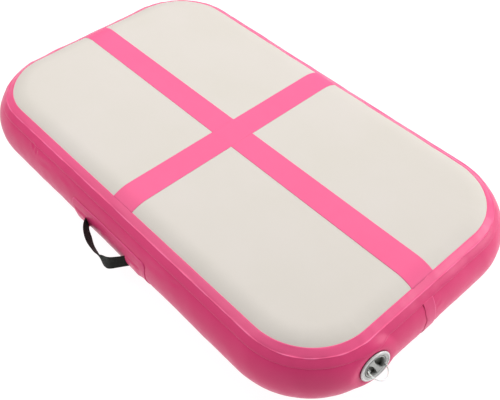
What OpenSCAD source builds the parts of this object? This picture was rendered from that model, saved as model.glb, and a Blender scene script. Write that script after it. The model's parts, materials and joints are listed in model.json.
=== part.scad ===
// Inflatable gymnastics mat: drop-stitch air board with carry handles and an inflation valve.
// X runs along the mat towards the valve end, Z is up.
// The origin is the centre of the resting face.

/* [Mat] */
// Length over the inflated ends
mat_length = 1000; // [700:10:1500]
// Width over the inflated sides
mat_width = 600; // [500:10:900]
// Inflated thickness
mat_thickness = 150; // [140:1:160]
// Corner radius in plan, over the inflated sides
corner_radius = 160; // [120:5:200]

/* [Skins] */
// Thickness of one coated fabric layer
skin = 1.2; // [1:0.1:1.4]
// Thickness of a welded tape or patch
tape = 0.8; // [0.6:0.1:1]
// Width of the seam tape over each edge seam
tape_width = 33; // [28:1:34]
// Angle of the edge seam above and below the side's midline, in degrees
seam_angle = 50; // [49:1:54]
// Width by which the liner laps behind each panel edge
liner_lap = 10; // [6:1:14]
// Width of the welded lap where the sidewall band's two ends meet
joint_width = 24; // [20:1:30]
// Distance of that lap's centre from the mat's centre line
joint_offset = -9; // [-20:1:20]

/* [Stripes] */
// Width of the two stripes that cross on the top
stripe_width = 54; // [40:1:80]
// Thickness of one stripe
stripe = 0.4; // [0.3:0.1:0.6]

/* [Core] */
// Spacing of the drop-stitch yarns
yarn_pitch = 50; // [40:5:80]
// Diameter of one drop-stitch yarn
yarn_d = 0.8; // [0.6:0.1:1.2]

/* [Handles] */
// Distance between the two slits that a handle comes out of
handle_span = 124; // [110:2:140]
// Distance of the handle's middle from the mat's centre, along the mat
handle_offset = -5; // [-30:1:30]
// Height of the handle's middle above the resting face
handle_height = 63; // [63:1:75]
// Distance from the swing line to the outside of the loop
handle_reach = 25; // [22:1:35]
// Angle at which the loop droops, in degrees
handle_droop = 30; // [0:5:60]
// Width of the webbing
webbing_width = 25; // [20:1:25]
// Thickness of the webbing
webbing = 1.6; // [1.2:0.1:2]
// Length of the patch that holds the handle
patch_length = 220; // [210:5:240]
// Height of that patch, along the side's curve
patch_width = 71; // [60:1:72]

/* [Valve] */
// Distance of the valve from the mat's centre line
valve_offset = -146; // [-150:1:-110]
// Angle of the valve above the middle of the end wall, in degrees
valve_rise = 8; // [0:1:11]
// Turn of the valve towards the near corner, in degrees
valve_turn = 8; // [0:1:8]
// Outside diameter of the valve's flange
flange_d = 60; // [60:1:62]
// Outside diameter of the valve's tube
tube_d = 46; // [45:0.5:47]
// Depth of the tube behind the flange
tube_depth = 24; // [24:1:30]
// Travel of the valve stem
stem_travel = 5; // [3:1:5]
// Turn of the cap's grip web from upright, in degrees
grip_turn = 30; // [0:5:45]
// Droop of the cap's bail below the valve's axis, in degrees
bail_droop = 23; // [0:1:40]

/* [Hidden] */
$fn = 128;

side_radius = mat_thickness / 2;                      // of the bulging sides
side_depth = side_radius;                             // from the flat top's edge to the outside
run_length = mat_length - 2 * corner_radius;          // straight part of each long side
run_width = mat_width - 2 * corner_radius;            // straight part of each end
path_radius = corner_radius - side_depth;             // corner radius of the line where the sides begin
yarn_margin = 5;                                      // between that line and the nearest yarn
root = 1;                                             // how deep a web or spoke is rooted in its neighbour
tape_half_angle = tape_width / 2 / side_radius * 180 / PI;
lap_angle = liner_lap / side_radius * 180 / PI;
tape_low = seam_angle - tape_half_angle;              // the two edges of the top seam tape
tape_high = seam_angle + tape_half_angle;

handle_angle = asin((handle_height - side_radius) / side_radius);
patch_half_angle = patch_width / 2 / side_radius * 180 / PI;
tab_half_angle = webbing_width / 2 / side_radius * 180 / PI;
tab = 1;                                              // thickness of the webbing where it is welded flat
tab_length = 38;                                      // of webbing under the patch, at each end
tab_margin = 4;                                       // between a tab and the edge of its pocket
tongue_root = 5;                                      // length of the tongue inside the side's curve
swing_standoff = 15;                                  // from the fabric to the line the loop swings on
swing_y = -mat_width / 2 + side_depth - side_radius * cos(handle_angle) - swing_standoff;
loop_bend = 20;                                       // outside radius of the loop's two bends
leg_gap = 0.3;                                        // between a loop's leg and its tab

valve_seat = side_radius - 4;                         // from the middle of the side's curve to the seat
flange_r = flange_d / 2;
tube_r = tube_d / 2;
bore_r = tube_r - 3;                                  // inside the valve's tube
gasket = 1.5;                                         // thickness of the flange gasket
flange = 2.7;                                         // thickness of the flange
flange_top = gasket + flange;
step_z = 1;                                           // ledge that the cap's seal sits on
step_r = bore_r + 2;
floor_z = -tube_depth + 3;                            // inside of the tube's floor
seat_r = 12;                                          // opening in that floor
stem_r = 3;
stem_fit = 0.05;                                      // radial clearance of the stem in its guide
guide_top = -tube_depth + 6;
button_z = guide_top + stem_travel + 4;               // underside of the stem's button
button = 2;                                           // thickness of the button
button_r = 6.5;
seal_r = seat_r + 2;
seal = 2.5;                                           // thickness of the seal disc
seal_gap = 0.1;                                       // between the seal disc and its seat
tube_gap = 0.2;                                       // between the tube and the fabric round it
pad_r = flange_r + 1;                                 // flat of fabric that the flange sits on
collar_r = pad_r + skin;
collar_low = -7;                                      // the fold of fabric round that flat, which
collar_high = 10;                                     // meets the bulging side all the way round

cap_rim_r = step_r - 0.3;
cap_rim_z = step_z + 1.2;                             // underside of the cap's rim
cap_top = cap_rim_z + 2.6;
cap_plug_r = bore_r - 0.1;
bowl_r = cap_plug_r - 2.9;
bowl_z = -4;                                          // bottom of the finger bowl
cap_floor = 1.5;
web = 7;                                              // thickness of the grip web
bail_turn = 20;                                       // of the bail's hinge line from level, in degrees
bail_z = cap_top + 1.9;
bail_r = 20.4;                                        // to the middle of the bail's wire
bail_wire_r = 0.9;
bail_pin_r = 1.1;
bail_play = 0.25;                                     // radial play of the pins in their lugs
bail_lug_r = 2.4;
bail_lug_in = 17.3;                                   // inner and outer faces of the two lugs
bail_lug_out = 19.2;
bail_pin_in = bail_lug_in - 0.3;
bail_pin_out = bail_r + bail_pin_r;

function polar(r, a) = [r * cos(a), r * sin(a)];

// ---------- building blocks ----------

// Slice of a ring between two radii and two angles, less than half a turn apart
module ring_slice(r_in, r_out, a_low, a_high) {
    far = 3 * r_out;
    mid = (a_low + a_high) / 2;
    intersection() {
        difference() {
            circle(r_out);
            circle(r_in);
        }
        polygon([[0, 0], polar(far, a_low), polar(far, mid), polar(far, a_high)]);
    }
}

// Carries a side's cross-section, drawn outwards from the flat top's edge, all round the mat
module round_the_mat() {
    for (turn = [0, 180]) {
        rotate(turn) {
            translate([0, -mat_width / 2 + side_depth, side_radius]) run(run_length) children();
            translate([mat_length / 2 - side_depth, 0, side_radius]) rotate(90) run(run_width) children();
        }
    }
    for (sx = [-1, 1], sy = [-1, 1]) {
        start = sx > 0 ? (sy > 0 ? 0 : 270) : (sy > 0 ? 90 : 180);
        translate([sx * run_length / 2, sy * run_width / 2, side_radius])
            rotate(start) rotate_extrude(angle = 90) translate([path_radius, 0]) children();
    }
}

// Straight stretch of a cross-section: the section faces -Y and runs along X
module run(length) {
    rotate([90, 0, -90]) linear_extrude(length, center = true) children();
}

// The flat middle of a panel
module flat_plate(thickness) {
    linear_extrude(thickness) {
        square([run_length, run_width + 2 * path_radius], center = true);
        square([run_length + 2 * path_radius, run_width], center = true);
        for (sx = [-1, 1], sy = [-1, 1]) {
            translate([sx * run_length / 2, sy * run_width / 2]) circle(path_radius);
        }
    }
}

// Places a valve part, drawn along +Z from the fabric's outer face, on the end wall
module on_valve_axis() {
    translate([mat_length / 2 - side_depth + valve_seat * cos(valve_rise), valve_offset,
               side_radius + valve_seat * sin(valve_rise)])
        rotate([0, 90 - valve_rise, -valve_turn]) children();
}

// Long enough to cut the end wall right through
module through_the_wall(r) {
    cylinder(h = 4 * tube_depth, r = r, center = true);
}

module tube(r_in, r_out, z_low, z_high) {
    translate([0, 0, z_low]) difference() {
        cylinder(h = z_high - z_low, r = r_out);
        translate([0, 0, -1]) cylinder(h = z_high - z_low + 2, r = r_in);
    }
}

// ---------- skins ----------

module panel() {
    translate([0, 0, mat_thickness - skin]) flat_plate(skin);
    round_the_mat() ring_slice(side_radius - skin, side_radius, seam_angle, 90);
}

module top_panel() {
    color([0.90, 0.87, 0.83]) panel();
}

module bottom_panel() {
    color([0.90, 0.87, 0.83]) translate([0, 0, mat_thickness]) mirror([0, 0, 1]) panel();
}

module sidewall_band() {
    color([0.88, 0.33, 0.52]) {
        difference() {
            round_the_mat() ring_slice(side_radius - skin, side_radius, -seam_angle, seam_angle);
            on_valve_axis() through_the_wall(pad_r);
        }
        on_valve_axis() {
            tube(tube_r + tube_gap, pad_r + skin / 2, -skin, 0);
            tube(pad_r, collar_r, collar_low, 0);
        }
        // where the flat lies deeper than the bulging side, the fold stops in the side's fabric
        intersection() {
            on_valve_axis() tube(pad_r, collar_r, -skin, collar_high);
            translate([mat_length / 2 - side_depth, 0, side_radius]) rotate([90, 0, 0])
                cylinder(h = mat_width, r = side_radius - skin / 2, center = true);
        }
    }
}

module sidewall_liner() {
    color([0.80, 0.28, 0.46]) difference() {
        round_the_mat() ring_slice(side_radius - 2 * skin, side_radius - skin,
                                   -seam_angle - lap_angle, seam_angle + lap_angle);
        on_valve_axis() through_the_wall(collar_r + tube_gap);
    }
}

module seam_tape() {
    round_the_mat() ring_slice(side_radius, side_radius + tape, tape_low, tape_high);
}

module top_seam_tape() {
    color([0.91, 0.36, 0.55]) seam_tape();
}

module bottom_seam_tape() {
    color([0.91, 0.36, 0.55]) translate([0, 0, mat_thickness]) mirror([0, 0, 1]) seam_tape();
}

module sidewall_joint_tape() {
    color([0.88, 0.33, 0.52])
        translate([mat_length / 2 - side_depth, joint_offset, side_radius])
            rotate(90) run(joint_width) ring_slice(side_radius, side_radius + tape, -tape_low, tape_low);
}

// ---------- stripes ----------

// A stripe along Y, over a mat that is `across` wide, down to the seam tape at both sides
module stripe_along_y(across, thickness) {
    flat = across - 2 * side_depth;
    translate([-stripe_width / 2, -flat / 2, mat_thickness]) cube([stripe_width, flat, thickness]);
    for (turn = [0, 180]) {
        rotate(turn) translate([0, -flat / 2, side_radius])
            run(stripe_width) ring_slice(side_radius, side_radius + thickness, tape_high, 90);
    }
}

module lengthwise_stripe() {
    color([1.0, 0.47, 0.64]) rotate(90) stripe_along_y(mat_length, stripe);
}

// Lies over the lengthwise stripe where they cross
module crosswise_stripe() {
    color([1.0, 0.47, 0.64]) difference() {
        stripe_along_y(mat_width, 2 * stripe);
        translate([-stripe_width, -stripe_width / 2, mat_thickness - 1])
            cube([2 * stripe_width, stripe_width, 1 + stripe]);
    }
}

// ---------- core ----------

// One yarn stands for the thousands around it
module drop_stitch_yarns() {
    columns = floor((mat_length / 2 - side_depth) / yarn_pitch);
    rows = floor((mat_width / 2 - side_depth) / yarn_pitch);
    color([0.93, 0.92, 0.88])
        for (i = [-columns : columns], j = [-rows : rows]) {
            past = [abs(i) * yarn_pitch - run_length / 2, abs(j) * yarn_pitch - run_width / 2];
            if (norm([max(past[0], 0), max(past[1], 0)]) < path_radius - yarn_margin)
                translate([i * yarn_pitch, j * yarn_pitch, skin])
                    cylinder(h = mat_thickness - 2 * skin, d = yarn_d, $fn = 16);
        }
}

// ---------- handles ----------

// Carries a section of the handle's patch or tab, wrapped on the right side's curve
module on_right_side(middle, length) {
    translate([middle, -mat_width / 2 + side_depth, side_radius]) run(length) children();
}

module webbing_tab(s) {
    fold_x = handle_offset + s * (handle_span / 2 + leg_gap);
    on_right_side(fold_x + s * tab_length / 2, tab_length)
        ring_slice(side_radius, side_radius + tab,
                   handle_angle - tab_half_angle, handle_angle + tab_half_angle);
    // tongue that stands out of the patch's slit
    difference() {
        translate([s > 0 ? fold_x : fold_x - webbing, swing_y, handle_height]) rotate([0, 90, 0])
            linear_extrude(webbing) {
                circle(d = webbing_width);
                translate([-webbing_width / 2, 0]) square([webbing_width, swing_standoff + tongue_root]);
            }
        on_right_side(handle_offset, 2 * handle_span) circle(side_radius);
    }
}

module handle_tabs() {
    color([0.13, 0.13, 0.13]) for (s = [-1, 1]) webbing_tab(s);
}

module handle_patch() {
    pocket = tab_length + tab_margin;
    pocket_half_angle = tab_half_angle + tab_margin / side_radius * 180 / PI;
    color([0.86, 0.32, 0.50]) difference() {
        union() {
            on_right_side(handle_offset, patch_length)
                ring_slice(side_radius, side_radius + tape,
                           handle_angle - patch_half_angle, handle_angle + patch_half_angle);
            for (s = [-1, 1])
                on_right_side(handle_offset + s * (handle_span / 2 + leg_gap + pocket / 2), pocket)
                    ring_slice(side_radius, side_radius + tab + tape,
                               handle_angle - pocket_half_angle, handle_angle + pocket_half_angle);
        }
        for (s = [-1, 1]) webbing_tab(s);
    }
}

// The loop in its own plane: X along the mat, Y away from it
module loop_outline(inset) {
    half = handle_span / 2 - inset;
    bend = loop_bend - inset;
    reach = handle_reach - inset;
    intersection() {
        union() {
            translate([-half, -inset]) square([2 * half, reach - bend + inset]);
            translate([-half + bend, -inset]) square([2 * (half - bend), reach + inset]);
            for (s = [-1, 1]) translate([s * (half - bend), reach - bend]) circle(bend);
        }
        translate([-half, -inset]) square([2 * half, reach + inset]);
    }
}

// Swings on a line along X through its two rounded ends
module handle_loop() {
    color([0.13, 0.13, 0.13])
        translate([handle_offset, swing_y, handle_height]) rotate([handle_droop, 0, 0]) {
            translate([0, 0, -webbing_width / 2]) linear_extrude(webbing_width)
                mirror([0, 1]) difference() {
                    loop_outline(0);
                    loop_outline(webbing);
                }
            for (s = [-1, 1])
                translate([s > 0 ? handle_span / 2 - webbing : -handle_span / 2, 0, 0])
                    rotate([0, 90, 0]) cylinder(h = webbing, d = webbing_width);
        }
}

module right_handle_patch() { handle_patch(); }
module right_handle_tabs() { handle_tabs(); }
module right_handle_loop() { handle_loop(); }
module left_handle_patch() { mirror([0, 1, 0]) handle_patch(); }
module left_handle_tabs() { mirror([0, 1, 0]) handle_tabs(); }
module left_handle_loop() { mirror([0, 1, 0]) handle_loop(); }

// ---------- valve ----------

module valve_doubler() {
    color([0.80, 0.28, 0.46]) on_valve_axis() tube(tube_r + tube_gap, pad_r - tube_gap, -2 * skin, -skin);
}

module valve_gasket() {
    color([0.10, 0.10, 0.10]) on_valve_axis() tube(tube_r + tube_gap / 2, flange_r - tube_gap, 0, gasket);
}

module valve_body() {
    edge = flange / 2;
    spokes = 3;
    spoke = 2.5;
    guide_r = 2 * stem_r;
    color([0.72, 0.73, 0.73]) on_valve_axis() {
        rotate_extrude() {
            translate([bore_r, -tube_depth]) square([tube_r - bore_r, tube_depth + step_z]);
            translate([step_r, 0]) square([tube_r - step_r, flange_top]);
            translate([step_r, gasket]) square([flange_r - edge - step_r, flange]);
            translate([flange_r - edge, gasket + edge]) circle(edge);
            translate([seat_r, -tube_depth]) square([tube_r - seat_r, floor_z + tube_depth]);
        }
        tube(stem_r + stem_fit, guide_r, -tube_depth, guide_top);
        for (k = [0 : spokes - 1])
            rotate(k * 360 / spokes) translate([guide_r - root, -spoke / 2, -tube_depth])
                cube([seat_r - guide_r + 2 * root, spoke, floor_z + tube_depth]);
    }
}

// Screwed on the tube from inside the mat, it clamps the fabric against the flange
module valve_back_nut() {
    nut_z = -2 * skin;
    disc = 2;
    hub = 4;
    lugs = 8;
    lug = 4;
    color([0.60, 0.61, 0.61]) on_valve_axis() {
        tube(tube_r, flange_r, nut_z - disc, nut_z);
        tube(tube_r, tube_r + hub, nut_z - disc - hub, nut_z - disc);
        for (k = [0 : lugs - 1])
            rotate(k * 360 / lugs) translate([tube_r + hub - root, -lug / 2, nut_z - disc - hub])
                cube([flange_r - tube_r - hub, lug, hub + root]);
    }
}

module valve_stem() {
    plate = 2;
    plate_z = -tube_depth - seal_gap - seal - plate;
    color([0.80, 0.81, 0.81]) on_valve_axis() {
        translate([0, 0, plate_z]) cylinder(h = button_z - plate_z, r = stem_r);
        translate([0, 0, button_z]) cylinder(h = button, r = button_r);
        translate([0, 0, plate_z]) cylinder(h = plate, r = seal_r - 1);
    }
}

module valve_seal_disc() {
    color([0.12, 0.12, 0.12]) on_valve_axis()
        tube(stem_r, seal_r, -tube_depth - seal_gap - seal, -tube_depth - seal_gap);
}

// Coil spring between the stem's guide and its button
module valve_spring() {
    wire_r = 0.35;
    coil_r = (stem_r + button_r) / 2;
    turns = 4;
    per_turn = 24;
    sides = 8;
    steps = turns * per_turn;
    low = guide_top + wire_r;
    rise = button_z - guide_top - 2 * wire_r;
    points = [for (i = [0 : steps], k = [0 : sides - 1])
        let (a = i * 360 / per_turn, b = k * 360 / sides, r = coil_r + wire_r * cos(b))
        [r * cos(a), r * sin(a), low + rise * i / steps + wire_r * sin(b)]];
    walls = [for (i = [0 : steps - 1], k = [0 : sides - 1])
        let (n = (k + 1) % sides)
        [i * sides + k, i * sides + n, (i + 1) * sides + n, (i + 1) * sides + k]];
    ends = [[for (k = [sides - 1 : -1 : 0]) k], [for (k = [0 : sides - 1]) steps * sides + k]];
    color([0.70, 0.71, 0.72]) on_valve_axis() polyhedron(points, concat(walls, ends));
}

module cap_o_ring() {
    section = (cap_rim_z - step_z) / 2 - stem_fit;
    color([0.10, 0.10, 0.10]) on_valve_axis()
        rotate_extrude() translate([bore_r + 1, (cap_rim_z + step_z) / 2]) circle(section);
}

// Places a part of the bail on the line it turns on, with Y along that line
module on_bail_hinge() {
    rotate(-bail_turn) translate([0, 0, bail_z]) children();
}

module bail_lugs() {
    for (s = [-1, 1])
        translate([0, s > 0 ? bail_lug_out : -bail_lug_in, 0]) rotate([90, 0, 0])
            linear_extrude(bail_lug_out - bail_lug_in) difference() {
                union() {
                    circle(bail_lug_r);
                    translate([-bail_lug_r, cap_top - root - bail_z])
                        square([2 * bail_lug_r, bail_z - cap_top + root]);
                }
                circle(bail_pin_r + bail_play);
            }
}

module valve_cap() {
    edge = 1;
    color([0.75, 0.76, 0.76]) on_valve_axis() {
        rotate_extrude() {
            translate([bowl_r, bowl_z - cap_floor])
                square([cap_plug_r - bowl_r, cap_rim_z - bowl_z + cap_floor]);
            translate([bowl_r, cap_rim_z]) square([cap_rim_r - edge - bowl_r, cap_top - cap_rim_z]);
            translate([cap_rim_r - edge, cap_rim_z]) square([edge, cap_top - cap_rim_z - edge]);
            translate([cap_rim_r - edge, cap_top - edge]) circle(edge);
            translate([0, bowl_z - cap_floor]) square([bowl_r, cap_floor]);
        }
        // grip web across the bowl
        rotate(grip_turn) translate([-bowl_r - root, -web / 2, bowl_z - root])
            cube([2 * (bowl_r + root), web, cap_top - bowl_z]);
        on_bail_hinge() bail_lugs();
    }
}

// Bent wire whose two ends turn in lugs on the cap's rim
module cap_bail() {
    color([0.93, 0.93, 0.93]) on_valve_axis() on_bail_hinge() rotate([0, bail_droop, 0]) {
        rotate([90, 0, 90]) rotate_extrude(angle = 180) translate([bail_r, 0]) circle(bail_wire_r);
        for (s = [-1, 1])
            rotate([-90 * s, 0, 0]) translate([0, 0, bail_pin_in])
                cylinder(h = bail_pin_out - bail_pin_in, r = bail_pin_r);
    }
}

top_panel();
bottom_panel();
sidewall_band();
sidewall_liner();
top_seam_tape();
bottom_seam_tape();
sidewall_joint_tape();
lengthwise_stripe();
crosswise_stripe();
drop_stitch_yarns();
right_handle_patch();
right_handle_tabs();
right_handle_loop();
left_handle_patch();
left_handle_tabs();
left_handle_loop();
valve_doubler();
valve_gasket();
valve_body();
valve_back_nut();
valve_stem();
valve_spring();
valve_seal_disc();
valve_cap();
cap_o_ring();
cap_bail();
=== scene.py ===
"""Looks of the air track mat: coated fabric skins, welded tapes, webbing handles and the valve."""
import json
import math
from contextlib import contextmanager

import bmesh
import bpy
import numpy as np
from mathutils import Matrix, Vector


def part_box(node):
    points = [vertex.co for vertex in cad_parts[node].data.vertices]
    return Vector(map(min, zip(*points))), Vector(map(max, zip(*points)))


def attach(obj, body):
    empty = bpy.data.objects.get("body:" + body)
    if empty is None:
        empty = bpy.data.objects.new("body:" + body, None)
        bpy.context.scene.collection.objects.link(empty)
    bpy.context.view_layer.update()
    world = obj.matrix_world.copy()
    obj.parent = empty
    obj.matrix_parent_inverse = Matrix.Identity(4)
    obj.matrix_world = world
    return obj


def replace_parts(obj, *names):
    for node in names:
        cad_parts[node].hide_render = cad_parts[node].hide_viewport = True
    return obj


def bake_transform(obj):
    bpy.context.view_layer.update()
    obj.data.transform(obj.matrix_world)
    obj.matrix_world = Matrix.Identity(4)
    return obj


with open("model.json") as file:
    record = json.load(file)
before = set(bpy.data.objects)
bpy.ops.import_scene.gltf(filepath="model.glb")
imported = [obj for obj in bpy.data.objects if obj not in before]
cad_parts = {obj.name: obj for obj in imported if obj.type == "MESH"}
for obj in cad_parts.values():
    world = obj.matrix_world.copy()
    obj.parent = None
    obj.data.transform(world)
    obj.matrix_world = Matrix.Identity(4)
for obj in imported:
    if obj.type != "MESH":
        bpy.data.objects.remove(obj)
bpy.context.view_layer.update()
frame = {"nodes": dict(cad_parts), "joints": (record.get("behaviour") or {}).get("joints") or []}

MM = 0.001

# ---- sizes, read from the frame or the same as in the CAD ----

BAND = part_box("sidewall_band")
HALF_L, HALF_W = BAND[1].x, BAND[1].y
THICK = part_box("top_panel")[1].z
SIDE_R = THICK / 2                       # radius of the bulging side
CORNER = 0.160                           # corner radius in plan
PATH_R = CORNER - SIDE_R                 # corner radius of the line where the sides begin
CORE_X, CORE_Y = HALF_L - CORNER, HALF_W - CORNER
SKIN = 1.2 * MM
TAPE = 0.8 * MM
SEAM = math.asin((BAND[1].z - SIDE_R) / SIDE_R)
TAPE_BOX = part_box("top_seam_tape")
TAPE_LOW = math.asin((TAPE_BOX[0].z - SIDE_R) / SIDE_R)
TAPE_HIGH = 2 * SEAM - TAPE_LOW
JOINTS = {joint["name"]: joint for joint in frame["joints"]}
SEAT = np.array(JOINTS["cap_turn"]["pos_m"])            # where the valve's axis leaves the fabric
VALVE_OUT = np.array(JOINTS["cap_pull_off"]["axis"])
VALVE_ACROSS = np.cross((0.0, 0.0, 1.0), VALVE_OUT) / np.hypot(VALVE_OUT[0], VALVE_OUT[1])
VALVE_UP = np.cross(VALVE_OUT, VALVE_ACROSS)
FLANGE_R = 30 * MM
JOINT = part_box("sidewall_joint_tape")
STRIPE_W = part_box("lengthwise_stripe")[1].y * 2
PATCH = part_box("right_handle_patch")

GRID = 3.5 * MM                          # spacing of the skins' vertices up the side
STEP = 2.4 * MM                          # and along the line where the sides begin
FLAT_UP = 0.9999                         # a normal that points up more than this is on the flat
CORNER_BLEND = 0.02                      # half the width of the change from an edge to a corner
DISH_FLAT, DISH_REACH, DISH_LIP = 1.5 * MM, 24 * MM, 1.0 * MM
UNDER_TAPE, LINER_LAP = 0.01, 0.13       # how far layers run on past the seams, in radians
BAND_HOLE, LINER_HOLE = 23.6 * MM, 24.2 * MM


# ---- small helpers ----

def smoothstep(low, high, x):
    t = np.clip((x - low) / (high - low), 0, 1)
    return t * t * (3 - 2 * t)


def waves(points, wavelength, seed, count=7):
    """Smooth noise of about unit size, as a sum of plane waves near that wavelength."""
    rng = np.random.default_rng(seed)
    total = np.zeros(points.shape[:-1])
    for _ in range(count):
        direction = rng.normal(size=points.shape[-1])
        direction /= np.linalg.norm(direction)
        k = math.tau / (wavelength * rng.uniform(0.7, 1.5))
        total += np.sin(points @ direction * k + rng.uniform(0, math.tau))
    return total / math.sqrt(count / 2)


def outline():
    """Points round the line where the sides begin, from the start of its +X side.

    Each row is x and y, then the outward normal's x and y."""
    rows = []
    for quarter in range(4):
        turn = quarter * math.pi / 2
        half, out = (CORE_Y, CORE_X) if quarter % 2 == 0 else (CORE_X, CORE_Y)
        nx, ny = math.cos(turn), math.sin(turn)
        for t in np.linspace(-half, half, 2 * round(half / STEP), endpoint=False):
            rows.append((nx * (out + PATH_R) - ny * t, ny * (out + PATH_R) + nx * t, nx, ny))
        cx, cy = nx * out - ny * half, ny * out + nx * half
        steps = round(PATH_R * math.pi / 2 / STEP)
        for a in np.linspace(turn, turn + math.pi / 2, steps, endpoint=False):
            c, s = math.cos(a), math.sin(a)
            rows.append((cx + PATH_R * c, cy + PATH_R * s, c, s))
    return np.array(rows)


def path_length(points):
    """Distance along a path up to each of its points."""
    steps = np.linalg.norm(np.diff(points, axis=0), axis=1)
    return np.concatenate([[0], np.cumsum(steps)])


def grid_faces(rows, cols, wrap):
    """Quads of a grid of rows by cols vertices. If wrap, its last column joins the first."""
    faces = []
    for r in range(rows - 1):
        for c in range(cols if wrap else cols - 1):
            d = (c + 1) % cols
            faces.append((r * cols + c, r * cols + d, (r + 1) * cols + d, (r + 1) * cols + c))
    return faces


def make_object(name, verts, faces, uvs=None, sharp=40):
    mesh = bpy.data.meshes.new(name)
    mesh.from_pydata([tuple(v) for v in np.asarray(verts, float)], [], faces)
    if uvs is not None:
        layer = mesh.uv_layers.new(name="UVMap")
        loops = np.zeros(len(mesh.loops), np.int64)
        mesh.loops.foreach_get("vertex_index", loops)
        layer.data.foreach_set("uv", np.asarray(uvs, np.float32)[loops].ravel())
    mesh.validate()
    mesh.polygons.foreach_set("use_smooth", [True] * len(mesh.polygons))
    if sharp:
        mesh.set_sharp_from_angle(angle=math.radians(sharp))
    mesh.update()
    obj = bpy.data.objects.new(name, mesh)
    bpy.context.scene.collection.objects.link(obj)
    return obj


def sheet(name, shell, uvs, wrap=False, flipped=False, skip=None):
    """A sheet through a grid of points. A square with all its corners in skip is left out."""
    faces = grid_faces(*shell.shape[:2], wrap)
    if skip is not None:
        faces = [f for f in faces if not skip[list(f)].all()]
    if flipped:
        faces = [f[::-1] for f in faces]
    return make_object(name, shell.reshape(-1, 3), faces, uvs.reshape(-1, 2), 0)


@contextmanager
def editing(obj):
    """Opens an object's mesh for changes, and writes it back."""
    bm = bmesh.new()
    bm.from_mesh(obj.data)
    yield bm
    bm.to_mesh(obj.data)
    bm.free()


def tube_faces(rows, cols):
    """Faces of a tube of rows rings, with its two ends closed."""
    ends = [tuple(range(cols))[::-1], tuple(range((rows - 1) * cols, rows * cols))]
    return grid_faces(rows, cols, True) + ends


def mark(obj, values, name="painted_highlight"):
    """Stores a value from 0 to 1 on each vertex, such as how near it is to an edge with a painted
    highlight.
    """
    layer = obj.data.attributes.new(name, "FLOAT", "POINT")
    layer.data.foreach_set("value", np.asarray(values, np.float32).ravel())


def welded(obj, thickness):
    """Gives a sheet its thickness, inwards from the drawn face, and fixes it to the mat."""
    solid = obj.modifiers.new("thickness", "SOLIDIFY")
    solid.thickness = thickness
    solid.offset = -1.0
    solid.use_rim = True
    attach(obj, "mat")
    return obj


# ---- shape of the inflated mat ----

def side_points(angles):
    """Points and normals on the bulging side, one row for each angle above its midline."""
    a = angles[:, None]
    x, y, nx, ny = COLUMNS.T[:, None]
    out = SIDE_R * np.cos(a)
    points = np.stack([x + nx * out, y + ny * out, SIDE_R + SIDE_R * np.sin(a) + 0 * nx], axis=-1)
    normals = np.stack([nx * np.cos(a), ny * np.cos(a), np.sin(a) + 0 * nx], axis=-1)
    return points, normals


def edge_distance(points):
    """How far in from where the sides begin a point is, and how much it is in a corner."""
    qx = np.abs(points[..., 0]) - CORE_X
    qy = np.abs(points[..., 1]) - CORE_Y
    outside = np.hypot(np.maximum(qx, 0), np.maximum(qy, 0))
    inside = PATH_R - outside - np.minimum(np.maximum(qx, qy), 0)
    corner = smoothstep(-CORNER_BLEND, CORNER_BLEND, np.minimum(qx, qy))
    return inside, corner


def round_line(points):
    """The nearest place on the mat's outline, seen from above. It runs smoothly round corners."""
    cx = np.clip(points[..., 0], -CORE_X, CORE_X)
    cy = np.clip(points[..., 1], -CORE_Y, CORE_Y)
    turn = np.arctan2(points[..., 1] - cy, points[..., 0] - cx)
    return np.stack([cx + CORNER * np.cos(turn), cy + CORNER * np.sin(turn)], axis=-1)


# short creases in the side: where they are (x, y, z), which way they run, and their length,
# width and depth, in mm
CREASES = [
    ((-262, -287, 120), (0.8, 0, -0.6), 16, 3, 1.6),
    ((-248, -290, 115), (0.3, 0.2, -1), 13, 2.5, 1.5),
    ((-215, -294, 106), (1, 0, 0.15), 40, 4, 0.9),
    ((-150, -291, 113), (1, 0, -0.1), 46, 4, 0.7),
    ((130, -293, 108), (1, 0, 0.1), 50, 5, 0.7),
    ((180, -290, 114), (0.9, 0, 0.3), 18, 3, 0.9),
    ((497, 10, 102), (0, 1, 0.25), 14, 2.5, 0.8),
    ((498, 14, 66), (0, 1, -0.3), 16, 2.5, 0.7),
    ((497, -34, 88), (0, 1, 0.35), 14, 2.5, 0.7),
    ((498, -38, 60), (0, 1, -0.2), 15, 3, 0.8),
    ((484, -230, 66), (0.2, 0.4, 1), 20, 3, 0.5),
    ((-240, 290, 112), (1, 0, 0.2), 40, 4, 0.5),
    ((210, 291, 110), (1, 0, -0.2), 32, 4, 0.5),
    ((-497, 60, 96), (0, 1, 0.2), 30, 4, 0.5),
    ((-492, -90, 112), (0, 1, -0.15), 36, 4, 0.5),
]

# the ridge's height as a share of the depth, its distance and width as shares of the width
RIDGE_HIGH, RIDGE_AWAY, RIDGE_WIDE = 0.5, 2, 1.3


def creases(points):
    """Depth of the creases, each with a low ridge round it."""
    depth = np.zeros(points.shape[:-1])
    for at, way, length, width, deep in CREASES:
        way = np.array(way) / np.linalg.norm(way)
        gap = points - np.array(at) * MM
        along = gap @ way
        across = np.linalg.norm(gap - along[..., None] * way, axis=-1)
        ends = (along / (length * MM / 2)) ** 4
        depth -= deep * MM * np.exp(-(across / (width * MM)) ** 2 - ends)
        ridge = (across - RIDGE_AWAY * width * MM) / (RIDGE_WIDE * width * MM)
        depth += RIDGE_HIGH * deep * MM * np.exp(-ridge ** 2 - ends)
    return depth


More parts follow.
